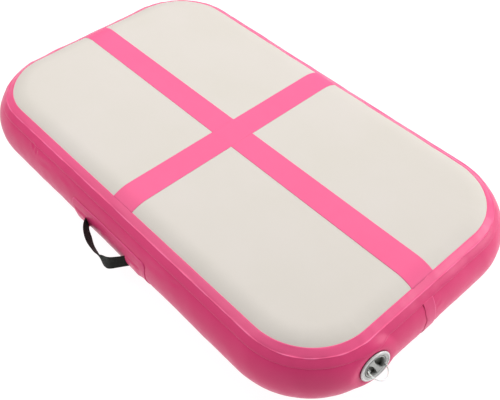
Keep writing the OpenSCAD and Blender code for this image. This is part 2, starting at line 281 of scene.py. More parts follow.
# relief of the skins: heights in mm, with what the corners add, then wavelengths and reaches
GATHER, GATHER_CORNER, GATHER_WAVE, GATHER_REACH = 0.48, 0.34, 0.034, 0.020
PINCH, PINCH_REACH = 0.25, 0.006
SWELL, SWELL_WAVE, SWELL_REACH = 0.32, 0.085, 0.060
FOLD, FOLD_CORNER, FOLD_WAVE, FOLD_REACH = 0.14, 0.22, 0.024, 0.014
SIDE_SWELL, SIDE_WAVE, SIDE_RIPPLE, RIPPLE_WAVE = 0.30, 0.110, 0.12, 0.040


def relief(points, normals):
    """How far the real fabric stands off the plain inflated shape."""
    up = normals[..., 2]
    inside, corner = edge_distance(points)
    slope = np.arcsin(np.clip(np.abs(up), 0, 1))
    over_flat = (math.pi / 2 - SEAM) * SIDE_R + inside
    from_seam = np.where(np.abs(up) > FLAT_UP, over_flat, (slope - SEAM) * SIDE_R)
    on_panel = smoothstep(-0.001, 0.004, from_seam)
    line = np.concatenate([round_line(points), np.sign(up)[..., None] * 0.3], axis=-1)

    # gathers of the panel's edge, strongest at the seam and in the corners
    gather = waves(line, GATHER_WAVE, 5, 5) + 0.6 * waves(line, GATHER_WAVE / 2, 6, 5)
    past = np.maximum(from_seam, 0)
    fade = np.exp(-past / GATHER_REACH) - PINCH * np.exp(-past / PINCH_REACH)
    panel = -(GATHER + GATHER_CORNER * corner) * MM * (0.5 + 0.5 * np.tanh(gather)) * fade
    # the long soft swells of the edge between the rows of yarns
    swell = SWELL * MM * waves(points, SWELL_WAVE, 7) * np.exp(-past / SWELL_REACH)

    # the sidewall: long swells, and short upright folds next to the seams
    fold = waves(line, FOLD_WAVE, 8, 5)
    near = np.exp(-np.abs(from_seam) / FOLD_REACH)
    side = (SIDE_SWELL * MM * waves(points, SIDE_WAVE, 9)
            + SIDE_RIPPLE * MM * waves(points, RIPPLE_WAVE, 10)
            + (FOLD + FOLD_CORNER * corner) * MM * fold * near)
    side = side + creases(points)
    return on_panel * (panel + swell) + (1 - on_panel) * side


def valve_plane(points):
    """How far out along the valve's axis points are, and how far from that axis."""
    gap = np.asarray(points) - SEAT
    out = gap @ VALVE_OUT
    return out, np.linalg.norm(gap - out[..., None] * VALVE_OUT, axis=-1)


def dish(points, depth):
    """Flattens the end wall round the valve, depth below the seat's plane, with a lip outside."""
    out, r = valve_plane(points)
    fade = 1 - smoothstep(FLANGE_R + DISH_FLAT, FLANGE_R + DISH_REACH, r)
    weight = np.where(points[..., 0] > CORE_X, fade, 0)
    lip = DISH_LIP * smoothstep(FLANGE_R + 0.1 * MM, FLANGE_R + 1.6 * MM, r)
    return points + (weight * (lip - depth - out))[..., None] * VALVE_OUT


def skin_at(points, normals, lift=0.0, mirrored=False):
    """The fabric's outer face at these points of the plain shape, raised by lift."""
    if mirrored:
        points = points * (1, 1, -1) + (0, 0, THICK)
        normals = normals * (1, 1, -1)
    stand = relief(points, normals)
    flat = np.abs(normals[..., 2]) > FLAT_UP
    if mirrored:
        stand = np.where(flat, np.minimum(stand, 0), stand)
    moved = points + normals * (stand + lift)[..., None]
    return dish(moved, -np.mean(lift))


# ---- the skins ----

COLUMNS = outline()


def band_uvs(v):
    """UVs of a band round the mat, in metres: along its outline, and up the side by v."""
    along = path_length(COLUMNS[:, :2])[None, :] * CORNER / PATH_R
    return np.stack(np.broadcast_arrays(along, v[:, None]), axis=-1)


def side_skin(name, lap, drop, hole):
    """A layer of the side, which runs on past the seams by lap and lies in by drop."""
    reach = SEAM + lap
    angles = np.linspace(-reach, reach, round(2 * reach * SIDE_R / GRID) + 1)
    shell = skin_at(*side_points(angles), -drop)
    obj = sheet(name, shell, band_uvs(angles * SIDE_R), wrap=True)
    cut_valve_hole(obj, hole)
    return welded(obj, SKIN)


def cut_valve_hole(obj, radius):
    """Opens the skin where the valve's tube passes, with a round edge."""
    def away(co):
        return valve_plane(co)[1] if co.x > CORE_X else 1.0

    with editing(obj) as bm:
        inside = [f for f in bm.faces if away(f.calc_center_median()) < radius]
        bmesh.ops.delete(bm, geom=inside, context="FACES")
        for v in bm.verts:
            if v.is_boundary and away(v.co) < radius + 3 * GRID:
                out, r = valve_plane(v.co)
                on_axis = SEAT + out * VALVE_OUT
                v.co = on_axis + (np.array(v.co) - on_axis) * (radius / r)


PANEL_RINGS = (3, 6, 9, 12, 16, 20, 25, 30, 36, 43, 51, 60, 70)    # mm in from the curved edge


def panel_skin(name, mirrored):
    """A panel: its curved edge from the seam up, then rings across the flat to the middle line."""
    points, normals = side_points(np.linspace(SEAM - UNDER_TAPE, math.pi / 2, 17))
    flat = []
    for inset in PANEL_RINGS:
        ring = np.full((len(COLUMNS), 3), THICK)
        ring[:, :2] = COLUMNS[:, :2] - COLUMNS[:, 2:] * inset * MM
        flat.append(ring)
    last = flat[-1]
    spine = HALF_L - HALF_W
    middle = np.stack([np.clip(last[:, 0], -spine, spine), 0 * last[:, 1], last[:, 2]], axis=-1)
    for share in np.linspace(0, 1, 14)[1:]:
        flat.append(last * (1 - share) + middle * share)
    flat = np.array(flat)
    points = np.concatenate([points, flat])
    normals = np.concatenate([normals, np.broadcast_to((0.0, 0.0, 1.0), flat.shape)])
    shell = skin_at(points, normals, 0, mirrored)
    obj = sheet(name, shell, shell[..., :2], True, mirrored)
    with editing(obj) as bm:
        bmesh.ops.remove_doubles(bm, verts=bm.verts, dist=1e-6)
    return welded(obj, SKIN)


def soft_edge(distance, full=1.4 * MM):
    """Height of a welded tape's face near its edge, as a share of its thickness."""
    return 0.12 + 0.88 * np.sin(np.clip(distance / full, 0, 1) * math.pi / 2)


SEAM_RIDGE, SEAM_SHELF, SEAM_WANDER = 0.55 * MM, 0.35 * MM, 0.35 * MM


def seam_tape(name, mirrored):
    """The tape over a seam, with the ridge of the edges that meet under it."""
    half = (TAPE_HIGH - TAPE_LOW) / 2 * SIDE_R
    near = np.array([0, 0.25, 0.6, 1.0, 1.5, 2.6, 4.5, 7, 10, 12.5, 14]) * MM
    ridge = np.array([-1.6, -0.9, -0.45, 0, 0.45, 0.9, 1.6]) * MM
    v = np.concatenate([-half + near, ridge, (half - near)[::-1]])
    points, normals = side_points(SEAM + v / SIDE_R)
    line = round_line(points)
    up = v[:, None]
    uneven = 1 + 0.2 * waves(line, 0.07, 20, 4)
    ridge_height = SEAM_RIDGE * np.exp(-(up / (0.8 * MM)) ** 2) * uneven
    shelf = SEAM_SHELF * (1 - smoothstep(-0.5 * MM, 1.2 * MM, up))
    lift = (TAPE * soft_edge(half - np.abs(v))[:, None] + ridge_height
            + shelf * soft_edge(half + v, 4 * MM)[:, None])
    wander = SEAM_WANDER * waves(line, 0.09, 21, 4)
    points[..., 2] += wander * np.cos(SEAM) * (1 - smoothstep(half - 4 * MM, half, np.abs(up)))
    obj = sheet(name, skin_at(points, normals, lift, mirrored), band_uvs(v), True, mirrored)
    # the ridge over the seam gets a painted highlight: a pale line, broken in places
    broken = 0.55 + 0.45 * np.tanh(1.5 * waves(line, 0.05, 22, 5))
    mark(obj, np.exp(-(up / (1.0 * MM)) ** 2) * broken)
    return welded(obj, TAPE)


top_skin = panel_skin("top_panel_skin", False)
bottom_skin = panel_skin("bottom_panel_skin", True)
band_skin = side_skin("sidewall_skin", UNDER_TAPE, 0, BAND_HOLE)
liner_skin = side_skin("sidewall_liner_skin", LINER_LAP, SKIN + 0.1 * MM, LINER_HOLE)
top_tape = seam_tape("top_seam_tape_skin", False)
bottom_tape = seam_tape("bottom_seam_tape_skin", True)
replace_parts(top_skin, "top_panel")
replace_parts(bottom_skin, "bottom_panel")
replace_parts(band_skin, "sidewall_band")
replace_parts(liner_skin, "sidewall_liner")
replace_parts(top_tape, "top_seam_tape")
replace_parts(bottom_tape, "bottom_seam_tape")


# ---- stripes ----

STRIPE = 0.4 * MM


def stripe(name, along_y, reach, layer):
    """A welded stripe from seam tape to seam tape, whose face stands layer thicknesses up."""
    half = reach - SIDE_R
    arc = (math.pi / 2 - TAPE_HIGH) * SIDE_R + 2 * MM
    v = np.concatenate([np.linspace(-half - arc, -half, 12)[:-1],
                        np.linspace(-half, half, 2 * round(half / (4 * MM))),
                        np.linspace(half, half + arc, 12)[1:]])
    edge = np.array([0, 0.2, 0.5, 1.0, 2.0, 4.0, 8.0]) * MM
    side, inner = STRIPE_W / 2, STRIPE_W / 2 - 13 * MM
    across = np.concatenate([-side + edge, np.linspace(-inner, inner, 7), (side - edge)[::-1]])
    past = np.maximum(np.abs(v) - half, 0) / SIDE_R
    length = np.sign(v) * (np.minimum(np.abs(v), half) + SIDE_R * np.sin(past))
    run, wide = np.meshgrid(length, across, indexing="ij")
    zero = np.zeros_like(run)
    high = (THICK - SIDE_R + SIDE_R * np.cos(past))[:, None] + zero
    tilt = (np.sign(v) * np.sin(past))[:, None] + zero
    points = np.stack([run, wide, high], -1)
    normals = np.stack([tilt, zero, np.cos(past)[:, None] + zero], -1)
    if along_y:
        points, normals = [rows[..., (1, 0, 2)] * (-1, 1, 1) for rows in (points, normals)]
    lift = STRIPE * soft_edge(side - np.abs(across), 0.8 * MM)[None, :] + zero
    if layer > 1:
        # rises over the stripe below it
        over = 1 - smoothstep(side, side + 1.5 * MM, np.abs(run))
        lift = lift + (layer - 1) * STRIPE * over
    uvs = np.stack([v[:, None] + zero, wide], axis=-1)
    obj = sheet(name, skin_at(points, normals, lift), uvs)
    return welded(obj, STRIPE * 0.9)


long_stripe = stripe("lengthwise_stripe_skin", False, HALF_L, 1)
cross_stripe = stripe("crosswise_stripe_skin", True, HALF_W, 2)
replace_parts(long_stripe, "lengthwise_stripe")
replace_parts(cross_stripe, "crosswise_stripe")


# ---- handles ----

SLIT_X = {-1: -0.072, 1: 0.0514}          # where the webbing comes out of its patch, along the mat
WEBBING = 1.6 * MM
WEB_W = 25 * MM
WEB_Z = 0.063
WEB_ANGLE = math.asin((WEB_Z - SIDE_R) / SIDE_R)
TAIL = np.array([27, 18, 9, 3]) * MM      # how far along the strap's ends are drawn past a slit
POCKET = 42 * MM
PATCH_ROUND, PATCH_RIM = 9 * MM, 4 * MM
# the strap between its slits: along the mat, out from the fabric and up, and the turn of its face
STRAP = [
    (-72, 1.6, 64, 1),
    (-60, 11.5, 65, -11),
    (-44, 20.5, 59.5, -22),
    (-30, 27, 49, -18),
    (-10, 31.5, 41.5, -10),
    (2, 32.5, 40.5, 10),
    (15, 30.5, 45.5, 24),
    (30, 24, 55, 22),
    (51.4, 1.6, 63, 17),
]


def side_frame(angle, flip):
    """Point of a long side at that angle above its midline, and the ways out and up the side."""
    outward = np.array([0.0, -flip * math.cos(angle), math.sin(angle)])
    upward = np.array([0.0, flip * math.sin(angle), math.cos(angle)])
    centre = np.array([0.0, -flip * (HALF_W - SIDE_R), SIDE_R])
    return centre + outward * SIDE_R, outward, upward


def spline(values, knots, at):
    """Natural cubic spline through rows of values."""
    n = len(knots)
    h = np.diff(knots)
    a = np.zeros((n, n))
    b = np.zeros(values.shape)
    a[0, 0] = a[-1, -1] = 1
    for i in range(1, n - 1):
        a[i, i - 1:i + 2] = h[i - 1], 2 * (h[i - 1] + h[i]), h[i]
        b[i] = 6 * ((values[i + 1] - values[i]) / h[i] - (values[i] - values[i - 1]) / h[i - 1])
    m = np.linalg.solve(a, b)
    k = np.clip(np.searchsorted(knots, at) - 1, 0, n - 2)
    left, right, step = (at - knots[k])[:, None], (knots[k + 1] - at)[:, None], h[k][:, None]
    start = values[k] / step - m[k] * step / 6
    end = values[k + 1] / step - m[k + 1] * step / 6
    bend = m[k] * right ** 3 / (6 * step) + m[k + 1] * left ** 3 / (6 * step)
    return bend + start * right + end * left


def strap_frames(flip):
    """Centre line of one handle's webbing and the direction of its width, from slit to slit."""
    rows = np.array(STRAP, float)
    points = np.stack([rows[:, 0], -flip * rows[:, 1], rows[:, 2]], -1) * MM
    angles = [math.asin((z - SIDE_R) / SIDE_R) for z in points[:, 2]]
    points[:, 1] += [side_frame(angle, flip)[0][1] for angle in angles]
    knots = path_length(points)
    s = np.linspace(0, knots[-1], 90)
    fit = spline(np.column_stack([points, np.radians(rows[:, 3])]), knots, s)
    centre, turn = fit[:, :3], fit[:, 3:]
    along = np.gradient(centre, s, axis=0)
    along /= np.linalg.norm(along, axis=1)[:, None]
    upward = side_frame(WEB_ANGLE, flip)[2]
    wide = upward - (along @ upward)[:, None] * along
    wide /= np.linalg.norm(wide, axis=1)[:, None]
    other = np.cross(wide, along) * flip
    wide = wide * np.cos(turn) + other * np.sin(turn)
    return s, centre, along, wide


def strap(name, flip):
    """One handle's webbing. Its ends run on under the patch, lying on the fabric."""
    s, centre, along, wide = strap_frames(flip)
    place, outward, upward = side_frame(WEB_ANGLE, flip)

    def lying(x):
        fabric = np.array([[v, place[1], place[2]] for v in x])
        hollow = np.minimum(relief(fabric, np.tile(outward, (len(x), 1))), 0) + WEBBING / 2
        return fabric + outward * hollow[:, None]

    first, last = lying(centre[0][0] - TAIL), lying(centre[-1][0] + TAIL[::-1])
    ways, ups = [np.tile(way, (len(TAIL), 1)) for way in ((1.0, 0.0, 0.0), upward)]
    centre = np.concatenate([first, centre, last])
    along, wide = np.concatenate([ways, along, ways]), np.concatenate([ups, wide, ups])
    s = np.concatenate([s[0] - TAIL, s, s[-1] + TAIL[::-1]])
    face = np.cross(along, wide)
    # cross-section of the webbing: a flat weave between two rounder, slightly thicker selvedges
    u = np.concatenate([np.linspace(-1, 1, 21), np.linspace(1, -1, 21)[1:-1]])
    side = np.where(np.arange(len(u)) < 21, 1.0, -1.0)
    swell = 1 + 0.18 * np.exp(-((np.abs(u) - 0.88) / 0.07) ** 2)
    thick = WEBBING / 2 * swell * np.sqrt(np.clip(1 - np.abs(u) ** 24, 0.02, 1))
    ring = (centre[:, None] + wide[:, None] * (u * WEB_W / 2)[None, :, None]
            + face[:, None] * (side * thick)[None, :, None])
    n, m = ring.shape[:2]
    faces = [f[::-1] if flip < 0 else f for f in grid_faces(n, m, True)]
    faces += [tuple(range(m))[::flip], tuple((n - 1) * m + k for k in range(m))[::-flip]]
    uvs = np.stack(np.broadcast_arrays(s[:, None], (u * WEB_W / 2)[None]), -1)
    obj = make_object(name, ring.reshape(-1, 3), faces, uvs.reshape(-1, 2), 60)
    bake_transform(obj)
    return obj


def patch(name, flip):
    """Welded patch over the two ends of a handle's webbing, with a pocket for each."""
    lo, hi = PATCH[0].x, PATCH[1].x
    fine = np.array([-2.4, -1.2, -0.5, -0.12, 0.12, 0.5, 1.2, 2.4]) * MM
    edge = np.array([0, 0.2, 0.5, 0.9, 1.5, 3]) * MM
    xs = np.unique(np.concatenate([lo + edge, hi - edge, SLIT_X[-1] + fine, SLIT_X[1] + fine,
                                   np.linspace(lo + 6 * MM, hi - 6 * MM, 80)]))
    mid = WEB_ANGLE * SIDE_R
    reach = math.asin((PATCH[1].z - SIDE_R) / SIDE_R) * SIDE_R - mid
    vs = np.unique(np.concatenate([mid - reach + edge, mid + reach - edge,
                                   np.linspace(mid - reach + 5 * MM, mid + reach - 5 * MM, 34)]))
    x, v = np.meshgrid(xs, vs, indexing="ij")
    centre, half = (lo + hi) / 2, (hi - lo) / 2
    r = PATCH_ROUND
    qx = np.maximum(np.abs(x - centre) - (half - r), 0)
    qv = np.maximum(np.abs(v - mid) - (reach - r), 0)
    # round the corners by drawing the outermost points in
    far = np.hypot(qx, qv)
    pull = np.where(far > r, r / np.maximum(far, 1e-9), 1)
    x = x - np.sign(x - centre) * qx * (1 - pull)
    v = v - np.sign(v - mid) * qv * (1 - pull)
    rim = np.minimum(r - np.minimum(far, r), PATCH_RIM)
    rim = np.where((qx > 0) | (qv > 0), rim, PATCH_RIM)
    lift = TAPE * soft_edge(rim, 0.9 * MM)
    for sign, slit in SLIT_X.items():
        past = (x - slit) * sign
        opened = smoothstep(-0.12 * MM, 0.12 * MM, past)
        inside = opened * (1 - smoothstep(POCKET - 12 * MM, POCKET, past))
        across = 1 - smoothstep(WEB_W / 2 + 0.3 * MM, WEB_W / 2 + 4.5 * MM, np.abs(v - mid))
        lift = lift + (WEBBING + 0.5 * MM) * inside * across
    uvs = np.stack([x, v], -1)
    lift = lift + 0.10 * MM * waves(uvs, 0.03, 31) * smoothstep(0, 4 * MM, rim)
    angle = v / SIDE_R
    points = np.stack([x, -flip * (HALF_W - SIDE_R + SIDE_R * np.cos(angle)),
                       SIDE_R + SIDE_R * np.sin(angle)], -1)
    normals = np.stack([0 * x, -flip * np.cos(angle), np.sin(angle)], -1)
    # squares that lie wholly past a rounded corner are left out, then the points only they used
    past_corner = (far > r + 0.001 * MM).ravel()
    obj = sheet(name, skin_at(points, normals, lift), uvs, False, flip < 0, past_corner)
    to_edge = np.minimum(reach - np.abs(v - mid), half - np.abs(x - centre))
    # a painted highlight all round the patch's edge, strongest at the very edge
    mark(obj, np.exp(-(np.minimum(rim, to_edge) / (1.8 * MM)) ** 2))
    with editing(obj) as bm:
        loose = [v for v in bm.verts if not v.link_faces]
        bmesh.ops.delete(bm, geom=loose, context="VERTS")
    return welded(obj, TAPE * 0.9)


for side, flip in (("right", 1), ("left", -1)):
    strap_piece = strap(side + "_handle_strap", flip)
    patch_piece = patch(side + "_handle_patch_skin", flip)
    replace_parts(strap_piece, side + "_handle_loop", side + "_handle_tabs")
    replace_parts(patch_piece, side + "_handle_patch")


# ---- joint of the sidewall band ----

def joint_tape(name):
    """The lap where the band's two ends meet, on the end wall that holds the valve."""
    lo, hi = JOINT[0].y - 3 * MM, JOINT[1].y - 3 * MM
    edge = np.array([0, 0.25, 0.6, 1.1, 2, 3.5]) * MM
    ys = np.unique(np.concatenate([lo + edge, hi - edge, np.linspace(lo + 5 * MM, hi - 5 * MM, 9)]))
    angles = np.linspace(-TAPE_LOW - 0.02, TAPE_LOW + 0.02, 56)
    y, a = np.meshgrid(ys, angles, indexing="ij")
    up = np.stack([a * SIDE_R, 0 * a], -1)
    # the lap's free edge wanders and puckers
    wander = 0.9 * MM * waves(up, 0.030, 41, 4)
    y = y + wander * (1 - smoothstep(lo, lo + 7 * MM, y))
    free = y - (lo + wander * (1 - smoothstep(lo, lo + 7 * MM, y)))
    stuck = 0.05 + 0.95 * smoothstep(-0.1, 0.9, waves(up, 0.026, 43, 5))
    flat = stuck + (1 - stuck) * smoothstep(0, 8 * MM, free)
    lift = 0.5 * TAPE * np.minimum(soft_edge(free, 1.6 * MM) * flat, soft_edge(hi - y, 1.0 * MM))
    pucker = np.maximum(0, waves(up, 0.020, 42, 5) - 0.4)
    lift = lift + 0.4 * MM * pucker * np.exp(-((y - lo) / (5 * MM)) ** 2)
    points = np.stack([HALF_L - SIDE_R + SIDE_R * np.cos(a), y, SIDE_R + SIDE_R * np.sin(a)], -1)
    normals = np.stack([np.cos(a), 0 * a, np.sin(a)], -1)
    obj = sheet(name, skin_at(points, normals, lift), np.stack([y, a * SIDE_R], -1))
    # a painted highlight along the lap's stuck-down edge
    mark(obj, np.exp(-((hi - y) / (1.3 * MM)) ** 2))
    return welded(obj, TAPE * 0.9)


joint_piece = joint_tape("sidewall_joint_skin")
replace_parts(joint_piece, "sidewall_joint_tape")


# ---- valve ----

# all in mm: the body, then the cap with its groove and web, the lugs, the bail and the spring
TUBE_R, BORE_R, MOUTH_R, SEAT_R = 23.0, 20.0, 22.0, 12.0
TUBE_DEPTH, GASKET, FACE, MOUTH_Z = 24.0, 1.5, 4.2, 2.9
GUIDE_R, STEM_R, SPOKE_HALF = 6.0, 3.05, 1.25
CAP_R, PLUG_R, BOWL_R = 20.9, 19.9, 18.9
CAP_LOW, CAP_TOP, BOWL_Z, CAP_FLOOR = 0.4, 3.0, -4.6, -5.5
RIM_ROUND, KNURL, GROOVE_R, GROOVE_Z, GROOVE_HALF = 0.7, 0.12, 20.4, 1.6, 0.6
WEB_HALF, WEB_FLARE, WEB_DIP, BOWL_SLOPE, BEAD = 3.0, 3.6, 0.7, 0.9, 0.25
GRIP_TURN, BAIL_TURN = math.radians(30), math.radians(20)
BAIL_Z, PIN_HOLE, LUG_IN, LUG_OUT, LUG_R = 6.7, 1.35, 17.3, 18.95, 2.4
BAIL_R, BAIL_WIRE, BAIL_DROOP = 20.4, 1.2, math.radians(23)
GUIDE_TOP, SPRING_R, SPRING_L = 6 - TUBE_DEPTH, 4.75, 9.0


def valve_points(across, up, out):
    """Places points drawn across, up and out from the valve's seat, in mm."""
    rows = [np.asarray(v, float)[..., None] * way
            for v, way in ((across, VALVE_ACROSS), (up, VALVE_UP), (out, VALVE_OUT))]
    return SEAT + sum(rows) * MM


def rounded(corners):
    """A closed profile from rows of radius, height and how much of each corner is rounded off."""
    rows = []
    for i, (r, z, bend) in enumerate(corners):
        here = np.array((r, z))
        if not bend:
            rows.append(here)
            continue
        before = np.array(corners[i - 1][:2]) - here
        after = np.array(corners[(i + 1) % len(corners)][:2]) - here
        before *= min(bend / np.linalg.norm(before), 0.5)
        after *= min(bend / np.linalg.norm(after), 0.5)
        for t in np.linspace(0, 1, 5):
            rows.append(here + (1 - t) ** 2 * before + t ** 2 * after)
    return np.array(rows)


class Shells:
    """Collects the closed shells that make up one moulded piece."""

    def __init__(self):
        self.verts, self.faces = [], []

    def add(self, points, faces):
        start = len(self.verts)
        self.verts += [tuple(p) for p in np.asarray(points).reshape(-1, 3)]
        self.faces += [tuple(start + k for k in f) for f in faces]

    def turned(self, profile, segments, place=valve_points):
        """A closed profile turned about the piece's axis."""
        a = np.arange(segments) * math.tau / segments
        r, z = profile[:, 0][:, None], profile[:, 1][:, None]
        points = place(r * np.cos(a), r * np.sin(a), z + 0 * a)
        count = len(profile) * segments
        faces = grid_faces(len(profile) + 1, segments, True)
        self.add(points, [[k % count for k in f] for f in faces])

    def block(self, low, high, turn, bevel=0.3):
        """A block with rounded edges between two corners, turned about the valve's axis."""
        bm = bmesh.new()
        bmesh.ops.create_cube(bm, size=1)
        size = np.array(high) - np.array(low)
        middle = (np.array(high) + np.array(low)) / 2
        for v in bm.verts:
            v.co = middle + np.array(v.co) * size
        bmesh.ops.bevel(bm, geom=bm.edges[:], offset=bevel, segments=3, affect="EDGES", profile=0.5)
        bm.verts.ensure_lookup_table()
        at = np.array([v.co for v in bm.verts])
        faces = [tuple(v.index for v in f.verts) for f in bm.faces]
        bm.free()
        across = at[:, 0] * math.cos(turn) - at[:, 1] * math.sin(turn)
        up = at[:, 0] * math.sin(turn) + at[:, 1] * math.cos(turn)
        self.add(valve_points(across, up, at[:, 2]), faces)

    def make(self, name, body, sharp=35):
        obj = make_object(name, self.verts, self.faces, None, sharp)
        with editing(obj) as bm:
            bmesh.ops.remove_doubles(bm, verts=bm.verts, dist=1e-7)
            bmesh.ops.recalc_face_normals(bm, faces=bm.faces)
        if body:
            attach(obj, body)
        return obj


def valve_body():
    """Flange with a rolled edge, the tube behind it, and the spokes that hold the stem's guide."""
    piece = Shells()
    floor_z = 3 - TUBE_DEPTH
    edge_r = FLANGE_R / MM
    piece.turned(rounded([
        (MOUTH_R, -1.0, 0.3), (MOUTH_R, MOUTH_Z, 0.4), (MOUTH_R + 1.2, MOUTH_Z, 0.4),
        (edge_r - 3.9, MOUTH_Z + 0.3, 0.4), (edge_r - 3.3, FACE, 0.5), (edge_r - 1.3, FACE, 1.0),
        (edge_r, FACE - 1.3, 1.1), (edge_r, GASKET, 0.5), (TUBE_R, GASKET, 0),
        (TUBE_R, -TUBE_DEPTH, 0.5), (SEAT_R, -TUBE_DEPTH, 0.4), (SEAT_R, floor_z, 0.4),
        (BORE_R, floor_z, 0.8), (BORE_R, -1.0, 0.3)]), 128)
    piece.turned(rounded([(STEM_R, GUIDE_TOP, 0.3), (GUIDE_R, GUIDE_TOP, 0.5),
                          (GUIDE_R, -TUBE_DEPTH, 0.3), (STEM_R, -TUBE_DEPTH, 0.2)]), 48)
    for k in range(3):
        piece.block((-SEAT_R - 0.5, -SPOKE_HALF, -TUBE_DEPTH),
                    (-GUIDE_R + 0.5, SPOKE_HALF, floor_z), math.pi / 2 + k * math.tau / 3)
    obj = piece.make("valve_body_moulding", "mat")
    # the flange's inner face and the tube inside it are marked for a light painted shade
    out, r = valve_plane([v.co for v in obj.data.vertices])
    low = 1 - smoothstep(FACE - 0.8, FACE - 0.1, out / MM)
    mark(obj, 0.4 * (r < FLANGE_R - 3.2 * MM) * low, "painted_recess_shade")
    return obj


def cap_face(across, up):
    """Height of the cap's face: a bowl on each side of a web that widens towards the rim."""
    r = np.hypot(across, up)
    along = -across * math.sin(GRIP_TURN) + up * math.cos(GRIP_TURN)
    aside = np.abs(across * math.cos(GRIP_TURN) + up * math.sin(GRIP_TURN))
    half_web = WEB_HALF + WEB_FLARE * (np.abs(along) / BOWL_R) ** 2.2
    in_bowl = 1 - smoothstep(BOWL_R - 1.0, BOWL_R + 0.2, r)
    bowl = smoothstep(half_web, half_web + 1.3, aside) * in_bowl
    slope = BOWL_SLOPE * smoothstep(0, BOWL_R, aside)
    web_dip = WEB_DIP * (1 - smoothstep(0, BOWL_R, r))
    bead = BEAD * np.exp(-((r - BOWL_R - 0.9) / 0.4) ** 2)
    over = np.maximum(r - CAP_R + RIM_ROUND, 0)
    edge = np.sqrt(np.clip(RIM_ROUND ** 2 - over ** 2, 0, None)) - RIM_ROUND
    return CAP_TOP - web_dip - (CAP_TOP - BOWL_Z - slope) * bowl + bead + edge


def on_hinge(down, out, along):
    """Places points about the bail's hinge line: down the cap's face, out of it and along."""
    return valve_points(along * math.cos(BAIL_TURN) - down * math.sin(BAIL_TURN),
                        -along * math.sin(BAIL_TURN) - down * math.cos(BAIL_TURN), out + BAIL_Z)


def valve_cap():
    """Screw cap with finger pockets and two lugs for its bail."""
    piece = Shells()
    segments = 144
    a = np.arange(segments) * math.tau / segments
    rim = CAP_R - RIM_ROUND + RIM_ROUND * np.sin(np.linspace(0.1, math.pi / 2, 7))
    radii = np.concatenate([[0.02], np.linspace(0.6, BOWL_R - 1.6, 30),
                            np.linspace(BOWL_R - 1.3, BOWL_R + 1.1, 13), rim])
    across, up = radii[:, None] * np.cos(a), radii[:, None] * np.sin(a)
    top = valve_points(across, up, cap_face(across, up))
    # the ring's groove, a knurled edge, then the underside and the plug: radius, height, knurl
    under = [(CAP_R, GROOVE_Z + GROOVE_HALF, 0), (GROOVE_R, GROOVE_Z + GROOVE_HALF - 0.02, 0),
             (GROOVE_R, GROOVE_Z - GROOVE_HALF + 0.02, 0), (CAP_R, GROOVE_Z - GROOVE_HALF, 1),
             (CAP_R, CAP_LOW + 0.3, 1), (CAP_R - 0.3, CAP_LOW, 0), (PLUG_R, CAP_LOW, 0),
             (PLUG_R, CAP_LOW - 0.4, 0), (PLUG_R, CAP_FLOOR + 0.5, 0), (PLUG_R - 0.5, CAP_FLOOR, 0),
             (0.02, CAP_FLOOR, 0)]
    low = []
    for r, z, k in under:
        r = r - k * KNURL * (0.5 + 0.5 * np.cos(60 * a))
        low.append(valve_points(r * np.cos(a), r * np.sin(a), z + 0 * a))
    points = np.concatenate([top, np.array(low)])
    piece.add(points, tube_faces(len(points), segments))
    for sign in (-1, 1):
        piece.turned(rounded([(PIN_HOLE, LUG_IN, 0.2), (LUG_R, LUG_IN, 0.4), (LUG_R, LUG_OUT, 0.4),
                              (PIN_HOLE, LUG_OUT, 0.2)]), 40,
                     lambda p, q, along, sign=sign: on_hinge(p, q, sign * along))
        middle = sign * (LUG_IN + LUG_OUT) / 2
        half = (LUG_OUT - LUG_IN) / 2
        piece.block((middle - half, -LUG_R + 0.2, CAP_TOP - 0.8),
                    (middle + half, LUG_R - 0.2, BAIL_Z - PIN_HOLE), -BAIL_TURN, 0.25)
    obj = piece.make("valve_cap_moulding", "cap")
    # the deeper a point lies in the cap's pockets, the more painted shade it is marked for
    depth = CAP_TOP - valve_plane([v.co for v in obj.data.vertices])[0] / MM
    mark(obj, smoothstep(0.5, CAP_TOP - BOWL_Z, depth), "painted_recess_shade")
    return obj


def swept(name, path, radius, across, sides=16):
    """A round wire along a path, with closed ends. The path never runs the way of across."""
    along = np.gradient(path, axis=0)
    along /= np.linalg.norm(along, axis=1)[:, None]
    first = np.cross(along, across)
    first /= np.linalg.norm(first, axis=1)[:, None]
    second = np.cross(along, first)
    a = np.arange(sides) * math.tau / sides
    # the ends taper a little
    from_end = np.minimum(np.arange(len(path)), np.arange(len(path))[::-1])
    size = radius * np.where(from_end == 0, 0.75, 1.0)
    ways = first[:, None] * np.cos(a)[:, None] + second[:, None] * np.sin(a)[:, None]
    rings = path[:, None] + size[:, None, None] * ways
    piece = Shells()
    piece.add(rings, tube_faces(len(path), sides))
    return piece.make(name, None, 50)


def cap_bail():
    """Bent wire: a half ring with an elbow and a pin at each end, which turn in the cap's lugs."""
    bend = 1.6
    lean = math.asin(bend / BAIL_R)
    a = np.linspace(lean, math.pi / 2, 40)
    turn = np.linspace(0, math.pi / 2, 8)[:-1]
    along = np.concatenate([np.linspace(LUG_IN - 0.3, BAIL_R - bend, 6)[:-1],
                            BAIL_R - bend + bend * np.sin(turn), BAIL_R * np.cos(a)])
    away = np.concatenate([np.zeros(5), bend - bend * np.cos(turn), BAIL_R * np.sin(a)])
    along = np.concatenate([along, -along[-2::-1]])
    away = np.concatenate([away, away[-2::-1]])
    path = on_hinge(away * math.sin(BAIL_DROOP), away * math.cos(BAIL_DROOP), along)
    flat = np.cross(path[40] - path[0], path[20] - path[0])
    obj = swept("cap_bail_wire", path, BAIL_WIRE * MM, flat / np.linalg.norm(flat))
    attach(obj, "bail")
    return obj


